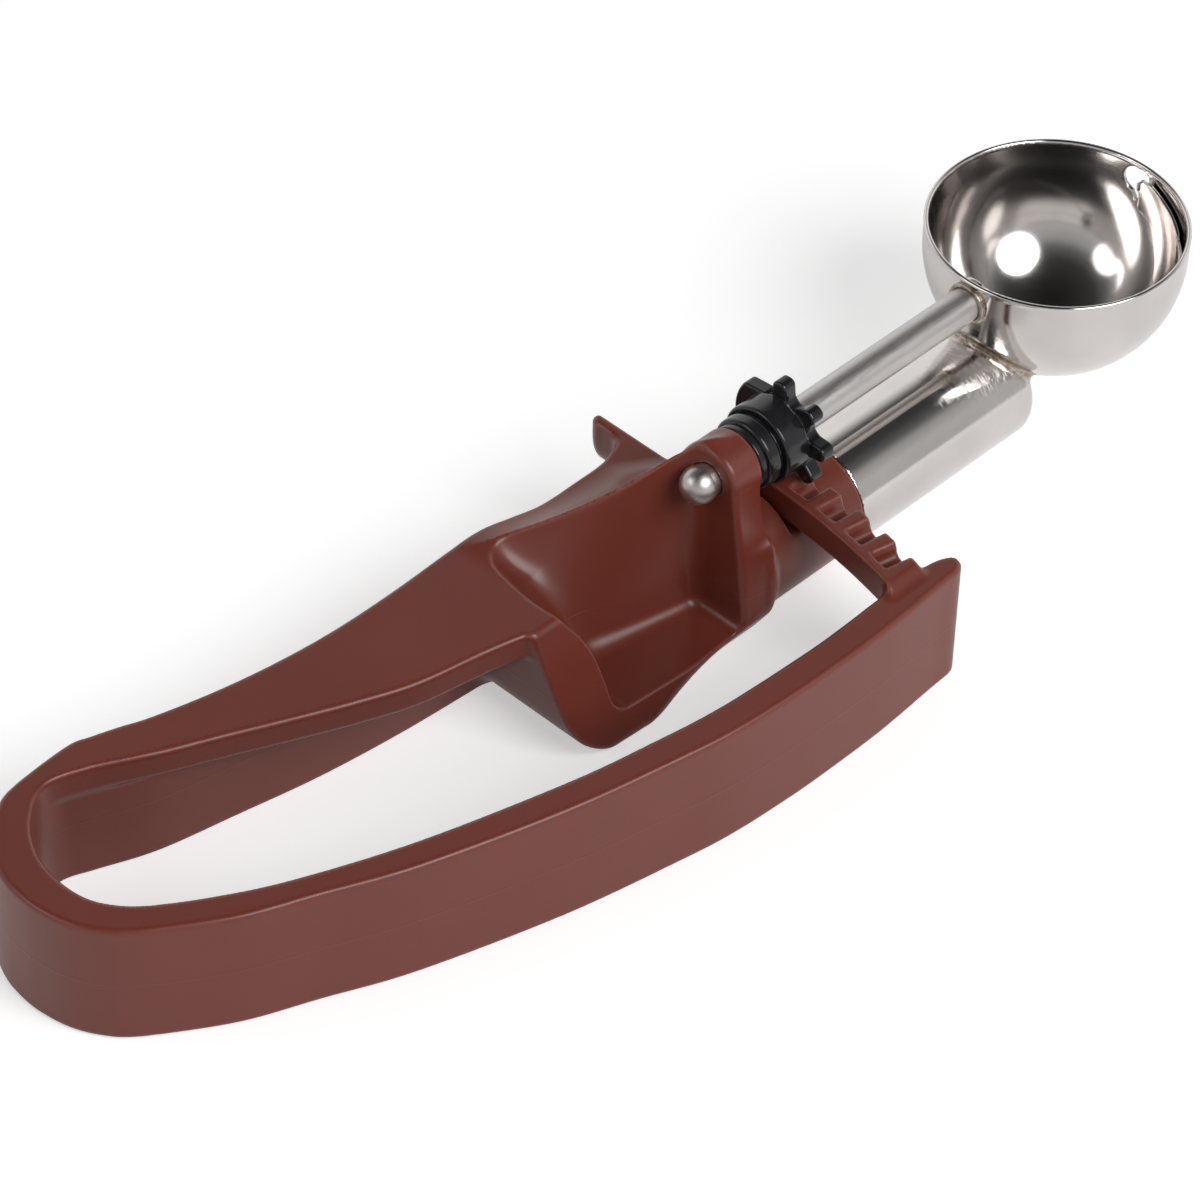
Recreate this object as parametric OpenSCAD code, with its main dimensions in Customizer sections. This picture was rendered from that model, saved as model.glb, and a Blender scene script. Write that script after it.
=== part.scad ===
// Lever ice cream scoop.
// A pressed bowl stands on a closed steel shank that is pushed over the neck of a plastic handle.
// Squeezing the lever bends the springy heel, and the rack on the lever's inner end turns a gear.
// The gear's rod passes above the shank into the bowl and swings a thin scraper blade round inside it.
// Drawn with the bowl's centre at the origin, +X towards the bowl and the lever on the -Y side,
// then moved so that the origin is at the middle of the base of the bounding box.

/* [Bowl] */
// inside radius of the bowl
bowl_r = 19; // [17:0.1:21]
// height of the straight collar above the half sphere
collar_h = 4; // [3:0.1:6]
// thickness of the bowl's sheet
bowl_wall = 0.7; // [0.5:0.05:1]
// how far the rim's bead stands out past the bowl
rim_lip = 0.1; // [0.05:0.01:0.3]
// radius of the round part of the hole in the bowl's far wall
slot_r = 2.2; // [1.8:0.05:2.6]
// how far the hole's point reaches below the axis
slot_drop = 2.9; // [2:0.1:4]

/* [Rod and blade] */
// radius of the rod that turns the blade
rod_r = 2.65; // [2.3:0.05:3]
// radius of the stud that carries the blade's far end
stud_r = 0.75; // [0.6:0.05:0.9]
// thickness of the scraper blade
blade_t = 0.6; // [0.4:0.05:0.9]
// gap between the blade and the bowl
blade_gap = 0.25; // [0.15:0.01:0.4]
// half the angle that the blade covers
blade_half = 22; // [16:0.5:26]
// radius of the blade's hub on the rod
hub_r = 3.4; // [3:0.05:4]

/* [Shank] */
// outside radius of the shank and of the handle's neck
shank_r = 9; // [8:0.1:10]
// thickness of the shank's tube
shank_wall = 0.8; // [0.6:0.05:1.2]
// distance from the rod's axis down to the shank's axis
shank_drop = 18.4; // [17.9:0.1:19]
// distance from the bowl's centre back to the shank's open end
shank_back = 50.2; // [48:0.2:53]
// distance from the bowl's centre back to the shank's closed end
shank_front = 12; // [11:0.2:14]
// radius that rounds the closed end
shank_round = 2.3; // [1:0.1:4]
// how far the brazed saddle stands out past the bowl and the shank
braze_w = 0.9; // [0.5:0.05:1.4]
// how deep the neck's spigot sits in the shank
spigot_len = 26; // [18:0.5:30]

/* [Gear] */
// number of tooth places round the gear
gear_places = 8; // [8:1:8]
// radius at the tips of the teeth
gear_tip_r = 8.8; // [8.6:0.05:8.9]
// radius at the roots of the teeth
gear_root_r = 6.25; // [5.8:0.05:6.4]
// half the width of a tooth at its root
tooth_half = 1.35; // [1.1:0.05:1.4]
// length of the teeth along the rod
tooth_len = 2.4; // [2:0.1:3]
// radius of the bright flange ring behind the gear
flange_r = 5.6; // [5.2:0.1:6]
// radius of the washer between the gear and the web
washer_r = 5.05; // [4.6:0.05:5.5]
// thickness of the washer
washer_t = 1.2; // [0.8:0.1:1.6]

/* [Rack] */
// width of the rack from its front face back to its rear face
rack_w = 6.2; // [6:0.1:6.6]
// width of the blind rail behind the tooth spaces
rail_w = 1.7; // [1.4:0.1:2]
// thickness of the rack
rack_t = 5.9; // [5:0.1:6.2]
// number of tooth spaces in the rack
rack_spaces = 5; // [5:1:6]
// distance from the gear's axis to the rack's far end
rack_over = 3.2; // [2.9:0.1:3.6]

/* [Handle] */
// length of the grip from the web's rear face to the heel
grip_len = 118.7; // [110:0.1:128]
// height of the grip
grip_h = 20.66; // [20.2:0.01:22]
// distance from the rod's axis down to the grip's flat top
grip_drop = 8.07; // [7.6:0.01:8.3]
// thickness of the ledge along the spine's inner edge
ledge_t = 4.6; // [3:0.1:7]
// thickness of the web that carries the rod
web_t = 6; // [4.5:0.1:7]
// radius of the boss round the rod
boss_r = 5.3; // [4.8:0.1:5.8]
// height of the pocket's floor above the grip's base
floor_t = 4.7; // [3:0.1:7]
// how far the rod's domed end stands out behind the web
rod_tail = 4.3; // [3.5:0.1:5.5]

/* [Clearances] */
// running gap round a turning rod or stud
run_gap = 0.08; // [0.04:0.01:0.1]
// gap between the rack and the slot through the neck
slide_gap = 0.4; // [0.3:0.05:0.6]

/* [Hidden] */
$fn = 96;
eps = 0.01;
far = 60;
steps = 4;
drawn_grip = 118.7;

bowl_out = bowl_r + bowl_wall;
rim_out = bowl_out + rim_lip;
bead_r = (rim_out - bowl_r) / 2;
blade_r = bowl_r - blade_gap;
blade_mid = 205;
rod_front = -(blade_r - blade_t - 0.15);
eyelet_r = rod_r + run_gap + 0.4;
eyelet_back = bowl_out + 0.5;

gear_front = 57.9;
gear_teeth_back = gear_front + tooth_len;
barrel_len = 6.8;
barrel_end = gear_front + barrel_len;
groove_w = 0.5;
flange_front = barrel_end + groove_w;
flange_t = 2.4;
web_front = 68.8;
web_rear = web_front + web_t;
shaft_back = web_rear + rod_tail;
washer_front = web_front - washer_t;
groove_r = flange_r - 0.7;
gear_phase = -2.5;
stop_r = gear_tip_r - 0.35;
stop_from = -8;
stop_to = 35;
stop_foot = 60;

grip_top = -grip_drop;
grip_base = grip_top - grip_h;
neck_z = -shank_drop;
spigot_r = shank_r - shank_wall;

// the heel bends as if the lever turned about this upright line
pivot = [-web_rear - 106.2 * grip_len / drawn_grip, 1];
mesh_at = [-gear_front - tooth_len / 2, 0];
mesh_r = norm(mesh_at - pivot);
mesh_angle = atan2(mesh_at[1] - pivot[1], mesh_at[0] - pivot[0]);
turn_ratio = 16;
pitch_r = mesh_r / turn_ratio;
space_step = 360 / gear_places / turn_ratio;
space_phase = gear_phase / turn_ratio;
rack_out = norm([-gear_front, 0] - pivot) + 0.6;
rack_in = rack_out - rack_w;
tip_gap = 0.3;
space_floor = -gear_tip_r - tip_gap;
rack_top = -gear_root_r - 0.45;
rack_base = rack_top - rack_t;
space_r = tooth_half;
space_half = tooth_half + 0.55;
tip_r = tooth_half - 0.35;
rack_end = mesh_angle + atan(rack_over / mesh_r);
lever_mid = 30;
rack_start = -asin((lever_mid + pivot[1]) / mesh_r);

// points are [distance back from the web's rear face, sideways]
function grip(p) = [for (q = p) [-web_rear - q[0] * (q[0] > 0 ? grip_len / drawn_grip : 1), q[1]]];
function bend(a, b, c, d, t) =
    b + (c - a) * t / 2 + (a - 2.5 * b + 2 * c - d / 2) * t * t + (3 * b - a - 3 * c + d) * t * t * t / 2;
function curve(p) = [
    for (i = [0:len(p) - 2], j = [0:steps - 1])
        bend(p[max(i - 1, 0)], p[i], p[i + 1], p[min(i + 2, len(p) - 1)], j / steps),
    p[len(p) - 1]
];
function back(p) = [for (i = [1:len(p)]) p[len(p) - i]];
function arc(c, r, from, to, n) = [for (i = [0:n]) c + r * spoke(from + (to - from) * i / n)];
function spoke(angle) = [cos(angle), sin(angle)];

heel_r = 17.5;
heel_at = [101.2, 12];
heel_arc = [for (a = [90:15:180]) [heel_at[0] - heel_r * cos(a), heel_at[1] + heel_r * sin(a)]];
lever_out = curve(grip(concat([[95.2, 29.7]], heel_arc, [
    [118.5, 8.6], [117.8, 5.3], [116.7, 2.6], [115.2, 0.2], [113.5, -1.8], [109.6, -4.8], [100.3, -10.6],
    [89.9, -15], [76.9, -20.5], [55.2, -27], [36.5, -30.9], [27, -32.4], [15.9, -33.1], [6.6, -33.2],
    [-3.1, -33], [-13.7, -32.2], [-18.6, -31.8]
])));
lever_in = curve(grip([
    [95.2, 24.2], [99.6, 25.8], [103.4, 25.5], [106.6, 23.4], [109.5, 20.4], [111.8, 16.1], [112.7, 11.5],
    [112.3, 6.6], [110.4, 2.9], [107.2, -0.3], [100, -5.1], [90.2, -10.2], [73.2, -16.7], [51.2, -22.8],
    [37.9, -25.4], [25.8, -27.2], [10.3, -28], [2.1, -28], [-6.3, -27.7], [-15.7, -27.8], [-19.5, -28.9],
    [-20.3, -30.4]
]));
spring_plan = concat(lever_out, back(lever_in));

spine_out = curve(grip([
    [95.2, 29.7], [91.4, 28.8], [87.1, 27.4], [83, 25.9], [73.9, 23.6], [64.2, 21.9], [53.7, 20.9],
    [42.2, 20.8], [29.6, 21.3], [23.8, 21.2], [19.1, 20.1], [14.1, 19], [7, 19], [2.1, 19.1], [-0.6, 19.8],
    [-3.2, 21.6], [-4.4, 24.1], [-4.3, 26.1], [-6, 26.6]
]));
wall_in = curve(grip([[95.2, 24.2], [86.4, 20.9], [73.7, 18.3], [60.7, 15.8], [46.7, 14.1], [34, 13.2]]));
ledge_in = curve(grip([
    [95.2, 24.2], [88.3, 20.2], [78.1, 15.6], [69.4, 11.6], [60.7, 7.8], [52.2, 4.7], [41.1, 2.6], [34, 0.9]
]));
guard_near = grip([[34.5, -9.4], [16.2, -9], [11.7, -7.6], [1.6, -5.5], [-6, -5.3]]);
wall_plan = concat(spine_out, back(guard_near), back(wall_in));
ledge_plan = concat(spine_out, [[-web_front, 0]], back(ledge_in));

box_min = [min([for (p = lever_out) p[0]]), min([for (p = lever_out) p[1]])];
box_max = [rim_out, max([for (p = concat(lever_out, spine_out)) p[1]])];
origin_shift = [-(box_min[0] + box_max[0]) / 2, -(box_min[1] + box_max[1]) / 2, -grip_base];

module place() {
    translate(origin_shift) children();
}

// a bar along X from one distance back from the bowl's centre to another
module bar(r, from_back, to_back, z = 0) {
    translate([-from_back, 0, z]) rotate([0, 90, 0]) cylinder(r = r, h = from_back - to_back);
}

// an outline in Y and Z stretched along X
module along_x(from_back, to_back) {
    translate([-from_back, 0, 0]) rotate([90, 0, 90]) linear_extrude(from_back - to_back) children();
}

// an outline in X and Z stretched along Y
module along_y(from_y, to_y) {
    translate([0, to_y, 0]) rotate([90, 0, 0]) linear_extrude(to_y - from_y) children();
}

module upright(points, from_z, to_z) {
    translate([0, 0, from_z]) linear_extrude(to_z - from_z) polygon(points);
}

// a curved bar about the lever's turning line
module ring_sector(r_in, r_out, z_from, z_to, from_angle, to_angle) {
    translate([pivot[0], pivot[1], z_from])
        rotate([0, 0, from_angle])
            rotate_extrude(angle = to_angle - from_angle, $fn = 360)
                translate([r_in, 0]) square([r_out - r_in, z_to - z_from]);
}

// the guard's near face leans out towards its foot
module guard_lean() {
    lean = 0.483;
    near_top = 0.4;
    near_base = near_top - (grip_h - 2) * lean;
    along_x(web_rear + grip_len, web_front - eps)
        polygon([[near_top, grip_top], [near_base, grip_base + 2], [near_base + 1, grip_base],
            [far, grip_base], [far, grip_top]]);
}

// the guard's rear face turns under to meet the base
module guard_rear() {
    rear = curve(grip([
        [34.4, grip_top], [34.2, -14], [33.8, -20.4], [33.1, -23.5], [31.4, -26], [28.6, -27.9], [27, grip_base]
    ]));
    along_y(-far, 13.4) polygon(concat(rear, [[far, grip_base], [far, grip_top]]));
}

module rear_of_guard() {
    heel_x = -web_rear - grip_len;
    upright([[heel_x, 12.6], [heel_x, far], [far, far], [far, 12.6]], grip_base, grip_top);
}

module pocket() {
    z_floor = grip_base + floor_t;
    top_rim = grip([
        [27.5, -14], [30.5, 0.4], [29.8, 6.5], [28.7, 12.4], [26.7, 16.1], [24.6, 17.5], [2, 3], [0.2, 0], [0.2, -14]
    ]);
    floor_rim = grip([[25.3, -14], [24.9, -3], [23.6, 1.4], [19.5, 4.1], [3.1, 1.5], [2.4, -14]]);
    hull() {
        upright(top_rim, grip_top - eps, grip_top);
        upright(floor_rim, z_floor, z_floor + eps);
    }
    upright(top_rim, grip_top - eps, boss_r + 1);
}

// the pocket's far wall climbs from the grip's top to the boss
module ridge() {
    climb = grip([
        [23.2, grip_top], [19.6, -6.2], [15.7, -4.4], [12.2, -3], [8.2, -1.2], [4.2, 0.7], [1.2, 1.9], [-1, 2.6]
    ]);
    strip = grip([[23.2, 21], [1.2, 5.2], [-3, 2.4], [-3, 0], [2, 3], [25, 17.5]]);
    intersection() {
        along_y(-far, far)
            polygon(concat(climb, [[-web_front - web_t / 2, grip_base], [climb[0][0], grip_base]]));
        upright(strip, grip_top - eps, boss_r);
    }
}

module web() {
    near_side = [[-boss_r, 0], [-5.45, -1], [-6.1, -5.8], [-6.8, -10.8], [-7.4, -15.9], [-8.3, -22.3]];
    along_x(web_rear, web_front) {
        circle(boss_r);
        polygon(concat(near_side, [[-5.3, grip_base], [boss_r, grip_base], [boss_r, 0]]));
    }
}

module rack_slot() {
    ring_sector(rack_in - slide_gap, rack_out + slide_gap, rack_base - slide_gap, grip_top + 6,
        mesh_angle - 6, mesh_angle + 6);
}

module handle_frame() {
    color("sienna") place() difference() {
        union() {
            intersection() {
                upright(wall_plan, grip_base, grip_top);
                guard_lean();
                union() {
                    guard_rear();
                    rear_of_guard();
                }
            }
            intersection() {
                upright(ledge_plan, grip_top - ledge_t, grip_top);
                guard_lean();
            }
            ridge();
            web();
            bar(shank_r, web_front + 1, shank_back, neck_z);
            bar(spigot_r, shank_back, shank_back - spigot_len + 1, neck_z);
            translate([-shank_back + spigot_len - 1, 0, neck_z])
                rotate([0, 90, 0]) cylinder(r1 = spigot_r, r2 = spigot_r - 1, h = 1);
        }
        pocket();
        rack_slot();
        bar(rod_r + run_gap, shaft_back, web_front - 1);
    }
}

// the heel ends where the lever's own straight part begins, on a line through the turning line
module heel_side() {
    low = [pivot[0] - far, pivot[1] - far];
    high = [pivot[0] + far, pivot[1] + far];
    upright([high, low, [low[0], high[1]]], grip_base - 1, boss_r + 1);
}

module heel_spring() {
    color("sienna") place() intersection() {
        upright(spring_plan, grip_base, grip_top);
        heel_side();
    }
}

module squeeze_lever() {
    color("sienna") place() difference() {
        upright(spring_plan, grip_base, grip_top);
        heel_side();
    }
}

// one tooth space of the rack, seen along the gear's axis
module space_outline() {
    floor_z = space_floor + space_r;
    flare = (space_half - space_r) / (rack_top - floor_z);
    above = 1;
    mouth = space_half + flare * above;
    mouth_z = rack_top + above;
    polygon(concat(arc([0, floor_z], space_r, 180, 360, 16), [[mouth, mouth_z], [-mouth, mouth_z]]));
}

module gear_rack() {
    color("sienna") place() difference() {
        ring_sector(rack_in, rack_out, rack_base, rack_top, rack_start, rack_end);
        upright(spring_plan, grip_base, boss_r);
        for (i = [0:rack_spaces - 1])
            translate([pivot[0], pivot[1], 0])
                rotate([0, 0, mesh_angle + space_phase - i * space_step])
                    translate([rack_in + rail_w, 0, 0])
                        rotate([90, 0, 90]) linear_extrude(rack_w) space_outline();
    }
}

module shank_tube() {
    round_at = shank_r - shank_round;
    front_x = -shank_front;
    color("silver") place() difference() {
        union() {
            bar(shank_r, shank_back, shank_front + shank_round, neck_z);
            bar(round_at, shank_front + shank_round + 1, shank_front, neck_z);
            translate([front_x - shank_round, 0, neck_z])
                rotate([0, 90, 0]) rotate_extrude() intersection() {
                    translate([round_at, 0]) circle(shank_round);
                    square(shank_r + 1);
                }
        }
        bar(spigot_r, shank_back + 1, shank_front + shank_round, neck_z);
        bar(round_at, shank_front + shank_round + 1, shank_front + shank_wall, neck_z);
        sphere(bowl_out, $fn = 180);
    }
}

module braze_saddle() {
    color("silver") place() difference() {
        intersection() {
            sphere(bowl_out + 1.8 * braze_w, $fn = 180);
            bar(shank_r + braze_w, bowl_out - 0.2, shank_front + 0.2, neck_z);
        }
        sphere(bowl_out, $fn = 180);
        bar(shank_r, bowl_out + 2, shank_front + shank_round, neck_z);
        bar(shank_r - 0.2, shank_front + shank_round + 1, shank_front - 2, neck_z);
        bar(shank_r + 2, shank_front + shank_round, shank_front - 2, neck_z);
    }
}

// the round hole with a point below, and the small notch that the stud turns in
module slot_outline() {
    slot_at = [1, 1.3];
    foot = [0.7, -slot_drop];
    side = 18;
    translate(slot_at) circle(slot_r);
    polygon([foot, slot_at + slot_r * spoke(-side), slot_at, slot_at + slot_r * spoke(180 + side)]);
    circle(stud_r + run_gap);
}

module rim_bead() {
    rotate_extrude($fn = 180) translate([bowl_r + bead_r, 0]) circle(bead_r);
}

module bowl_outside() {
    rim_z = collar_h - bead_r;
    sphere(bowl_out, $fn = 180);
    cylinder(r = bowl_out, h = rim_z, $fn = 180);
    translate([0, 0, rim_z]) rim_bead();
}

module bowl() {
    color("silver") place() difference() {
        bowl_outside();
        sphere(bowl_r, $fn = 180);
        cylinder(r = bowl_r, h = bowl_out, $fn = 180);
        translate([0, 0, collar_h - bead_r]) difference() {
            cylinder(r = bowl_out + 1, h = bowl_out, $fn = 180);
            rim_bead();
        }
        bar(eyelet_r, bowl_out + 1, bowl_r / 2);
        along_x(0, -bowl_out - 1) slot_outline();
    }
}

module rod_eyelet() {
    eyelet_front = blade_r + 0.2;
    color("silver") place() difference() {
        union() {
            bar(eyelet_r, eyelet_back, eyelet_front);
            difference() {
                bar(eyelet_r + 0.2, eyelet_back, bowl_r);
                bowl_outside();
            }
        }
        bar(rod_r + run_gap, eyelet_back + 1, bowl_r / 2);
    }
}

module blade_rod() {
    color("silver") place() {
        bar(rod_r, shaft_back - rod_r, -rod_front);
        translate([-(shaft_back - rod_r), 0, 0]) sphere(rod_r);
    }
}

// the blade is a slice of a thin sphere, with a hub round the rod and a pointed tab round the stud
module blade_outline() {
    reach = 2 * bowl_r;
    wedge = [for (s = [-1, 1]) reach * spoke(blade_mid + s * blade_half)];
    along_x(blade_r, -blade_r) polygon([[0, 0], wedge[0], wedge[1]]);
    bar(hub_r, bowl_r, bowl_r / 2);
    along_x(-bowl_r / 2, -bowl_r) {
        circle(stud_r + 0.45);
        polygon([[-0.2, 1.1], [-5, 0.9], [-5, -3], [-3.1, -3.9], [-0.55, -3.3], [0.1, -2.35], [-0.4, -0.4]]);
    }
}

module scraper_blade() {
    color("silver") place() difference() {
        intersection() {
            sphere(blade_r, $fn = 180);
            blade_outline();
        }
        sphere(blade_r - blade_t, $fn = 180);
        bar(rod_r, bowl_r, bowl_r / 2);
        bar(stud_r, -bowl_r / 2, -bowl_r);
    }
}

module blade_stud() {
    head_out = blade_r - blade_t - 0.08;
    head_t = 0.3;
    color("silver") place() {
        bar(stud_r, head_t - head_out, -rim_out);
        bar(stud_r + 0.25, head_t - head_out, -head_out);
    }
}

module tooth_outline() {
    foot = gear_root_r - 1;
    tip = arc([gear_tip_r - tip_r, 0], tip_r, -90, 90, 12);
    polygon(concat([[foot, -tooth_half]], tip, [[foot, tooth_half]]));
}

module drive_gear() {
    step = 360 / gear_places;
    color("dimgray") place() difference() {
        union() {
            along_x(gear_teeth_back, gear_front) {
                for (i = [-4:1]) rotate(270 + gear_phase + i * step) tooth_outline();
                polygon(concat([[0, 0]], arc([0, 0], stop_r, stop_from, stop_to, 12),
                    [(gear_root_r - 0.2) * spoke(stop_foot)]));
            }
            bar(gear_root_r, barrel_end, gear_front);
            bar(groove_r, washer_front, barrel_end - 1);
            bar(flange_r, flange_front + flange_t, flange_front);
        }
        bar(rod_r, web_rear, gear_front - 1);
    }
}

module thrust_washer() {
    color("dimgray") place() difference() {
        bar(washer_r, web_front, washer_front);
        bar(rod_r, web_front + 1, washer_front - 1);
    }
}

handle_frame();
heel_spring();
squeeze_lever();
gear_rack();
shank_tube();
braze_saddle();
bowl();
rod_eyelet();
blade_rod();
scraper_blade();
blade_stud();
drive_gear();
thrust_washer();
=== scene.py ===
import math

import bpy
import numpy as np
from bpy.props import FloatProperty, FloatVectorProperty, PointerProperty
from mathutils import Matrix, Vector


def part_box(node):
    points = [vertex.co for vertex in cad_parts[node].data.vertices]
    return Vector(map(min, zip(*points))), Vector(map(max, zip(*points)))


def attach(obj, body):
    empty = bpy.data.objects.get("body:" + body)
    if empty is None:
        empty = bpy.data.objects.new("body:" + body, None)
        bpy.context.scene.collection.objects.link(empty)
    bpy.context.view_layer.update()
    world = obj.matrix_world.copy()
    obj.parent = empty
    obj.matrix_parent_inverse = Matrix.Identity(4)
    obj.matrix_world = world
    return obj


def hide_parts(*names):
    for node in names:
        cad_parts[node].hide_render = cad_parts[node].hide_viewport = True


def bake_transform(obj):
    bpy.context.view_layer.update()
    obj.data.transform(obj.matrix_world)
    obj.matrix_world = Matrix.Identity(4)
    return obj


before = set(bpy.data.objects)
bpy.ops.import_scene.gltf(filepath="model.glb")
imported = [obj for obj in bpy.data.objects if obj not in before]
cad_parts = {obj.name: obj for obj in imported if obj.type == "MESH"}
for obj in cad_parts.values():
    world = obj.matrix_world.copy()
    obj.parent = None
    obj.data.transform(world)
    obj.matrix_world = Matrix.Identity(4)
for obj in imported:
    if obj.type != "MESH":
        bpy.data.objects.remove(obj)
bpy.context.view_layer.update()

bl_info = {
    "name": "Lever ice cream scoop",
    "version": (1, 0, 0),
    "blender": (4, 5, 0),
    "location": "View3D > Sidebar > Scoop",
    "description": "Builds the visible pieces of a lever ice cream scoop",
    "category": "Add Mesh",
}

MM = 1000

# Places are in millimetres from the bowl's centre, +x towards the bowl and the lever on the -y side.
COLLAR = 4.0
bowl_low, bowl_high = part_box("bowl")
ORIGIN = np.array([
    MM / 2 * (bowl_low[0] + bowl_high[0]), MM / 2 * (bowl_low[1] + bowl_high[1]), MM * bowl_high[2] - COLLAR
])

# Handle: web and boss, flat top and base, neck and its spigot inside the shank.
WEB_BACK, WEB_FRONT, BOSS_R = -74.8, -68.8, 5.3
GRIP_TOP, GRIP_BASE, SPINE_END = -8.07, -28.73, -168
NECK_Z, NECK_R, NECK_REAR, NECK_FRONT = -18.4, 9.0, -70, -50.2
SPIGOT_R, SPIGOT_REAR, SPIGOT_FRONT = 8.18, -60, -24.2
BORE_GAP, BORE_FRONT = 0.08, -60
LEDGE_THICK, POCKET_RISE = 4.6, 4.7

# Frame: guard's near face, wing's rear face, slanting face under the web, ridge.
FACE_START, FACE_SLOPE = 0.4, 0.483
FULL, FULL_FROM, FULL_RUN, FULL_DROP = 1.1, -105, 25, 16
WING_REAR, WING_SIDE, WING_DROP, WING_BEND, WING_MOST = 3.6, 20.5, 2, 0.055, 2.4
UNDER_AT, UNDER_WAY, UNDER_LONG, UNDER_SWING = (-8.5, -23.6), (-5.1, -3.2), 6.02, 0.0095
CREST_RUN, CREST_CLIMB, CREST_FILL, CREST_CAP = 30, 15, 20, 13.2
RIDGE_WAY, RIDGE_Y, RIDGE_FLAT, RIDGE_WIDE, RIDGE_SPREAD = (0.534, 0.845), 1.74, 0.3, 4, 0.7

# Lever: the upright line it turns about, and the line that parts it from the heel.
PIVOT = np.array([-181.0, 1.0])
GRIP_LINE = (116.2, 20)
LEVER_HAIR, LEVER_LAP = 0.03, 1.2

# Gear and rack: the gear turns by the ratio for each degree of the lever.
GEAR_RATIO, TOOTH_STEP, TOOTH_START = 16, 45, 267.5
SPACE_STEP, LAST_SPACE = TOOTH_STEP / GEAR_RATIO, 4
FIRST_SPACE = -0.47 - (270 - TOOTH_START) / GEAR_RATIO
SPACE_R, SPACE_Z, SPACE_MOUTH, SPACE_FLARE, SPACE_OPEN, SPACE_WALL = 1.35, -7.75, 1.9, 0.55 / 1.05, 3, 1.7
RACK_IN, RACK_OUT, RACK_LINE, RACK_ENDS = 117.504, 123.704, 121.9, (-15.2, 1.034)
RACK_TOP, RACK_BASE = -6.7, -11.6
RACK_DIP, DIP_FROM, DIP_RUN = 3, -27.4, 3.6
SLOT_BASE, SLOT_GAP, SLOT_HALF = -13.0, 0.4, 12.8

# Gear: radii, and the reach of each part along x.
ROOT_R, TIP_R, TOOTH_HALF, TOOTH_TAPER, TOOTH_MID = 5.6, 8.8, 1.3, 0.06, 7
STOP = [(0, 0), (10.89, -1.53), (11, 2), (9.9, 4.55), (3.02, 5.24)]
STOP_R, BARREL_R, GROOVE_R, FLANGE_R = 8.45, 6.25, 4.9, 5.6
TEETH_X, BARREL_X, GROOVE_X, FLANGE_X = (-60.3, -57.9), (-64.7, -60.2), (-67.6, -58.5), (-67.6, -65.2)
WASHER = [(-68.8, 2.65), (-67.6, 2.65), (-67.6, 5.05), (-68.8, 5.05)]

# Rod, bowl with its bead and holes, shank with its braze, eyelet as x and radius.
ROD_R, ROD_FRONT, HEAD_R, HEAD_X, HEAD_FRONT = 2.65, -18, 2.9, -76.5, -75.8
BOWL_IN, BOWL_OUT, HALF_SHEET = 19.0, 19.7, 0.35
BEAD_RING, BEAD_Z, BEAD_R = 19.4, 3.6, 0.4
ROD_HOLE_R = 3.13
DROP_RINGS = ((0.7, 0.8, 2.25), (-0.2, 1.6, 1.5))
DROP_SIDES = ((2.55, 0.6, 0.85, -0.583), (-1.3, 0.2, -0.9, -0.44))
DROP_TOP = 1
SHANK_IN, SHANK_END, SHANK_FLOOR, BRAZE_WIDE = 8.2, -12, -12.8, 1.6
EYELET = [(-20.2, 2.73), (-18.95, 2.73), (-18.95, 3.13), (-19.42, 3.13), (-19.42, 3.33), (-20.2, 3.33)]

# Scraper: its sheet, its angles in degrees, its ends and its bent lug.
BLADE_IN, BLADE_OUT, BLADE_SPAN = 18.15, 18.75, (183, 227)
BLADE_ENDS, HUB_R = 9.5, 3.4
BLADE_TAB = [
    (-0.6, 1.2), (-1.2, 2.1), (-2.6, 2.4), (-3.7, 2.05), (-5, 1.7), (-6.3, 1.4), (-7.9, 1.1), (-9.7, 0.6),
    (-11.6, 0), (-11.6, -4), (-5, -3.5), (-3.1, -3.9), (-0.6, -3.3), (-0.6, -1.7), (-0.8, 0),
]
LUG = ((18.2, 19.8), (-0.6, 0.05), (-0.35, 1.05))

# The boxes that pieces are meshed in.
HANDLE_BOX = (-195, -19, -30), (-22, 31, 7)
LEVER_BOX = (-195, -35, -30), (-53, 4, -6)
BOWL_BOX = (-21, -21, -21), (21, 21, 5)
SHANK_BOX = (-52, -12, -31), (-8, 12, -6)
SCRAPER_BOX = (-20, -20, -16), (20, 5, 5)
LUG_BOX = (17.9, -0.9, -0.65), (20.3, 0.35, 1.35)
GEAR_BOX = (-68.2, -9.4, -9.4), (-57.3, 9.4, 9.4)

# Camera: heading, height and roll in degrees, place in millimetres, focal length in pixels.
CAMERA_TURN = (47.16, 43.077, 2.006)
CAMERA_RIGHT, CAMERA_UP, CAMERA_BACK = -67.3, -52.744, 882.393
FOCAL, FRAME_WIDE, SENSOR = 5976.347, 1200, 36.0

# Lamps: way from the bowl, width and height in metres, brightness.
LAMPS = {
    "key lamp": ((-0.04, -0.73, 0.68), (0.66, 0.56), 5.7),
    "side lamp": ((-0.76, 0.36, 0.54), (0.48, 0.38), 1.7),
}
LAMP_AWAY = 0.9
FAR_SIDE = (0.733, 0.68, 0.0)
NEAR_SKY = [(0.12, 0.9), (0.2, 0.52), (0.48, 0.54), (0.656, 0.38), (0.744, 0.14), (0.84, 0.045), (1.0, 0.015)]

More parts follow.
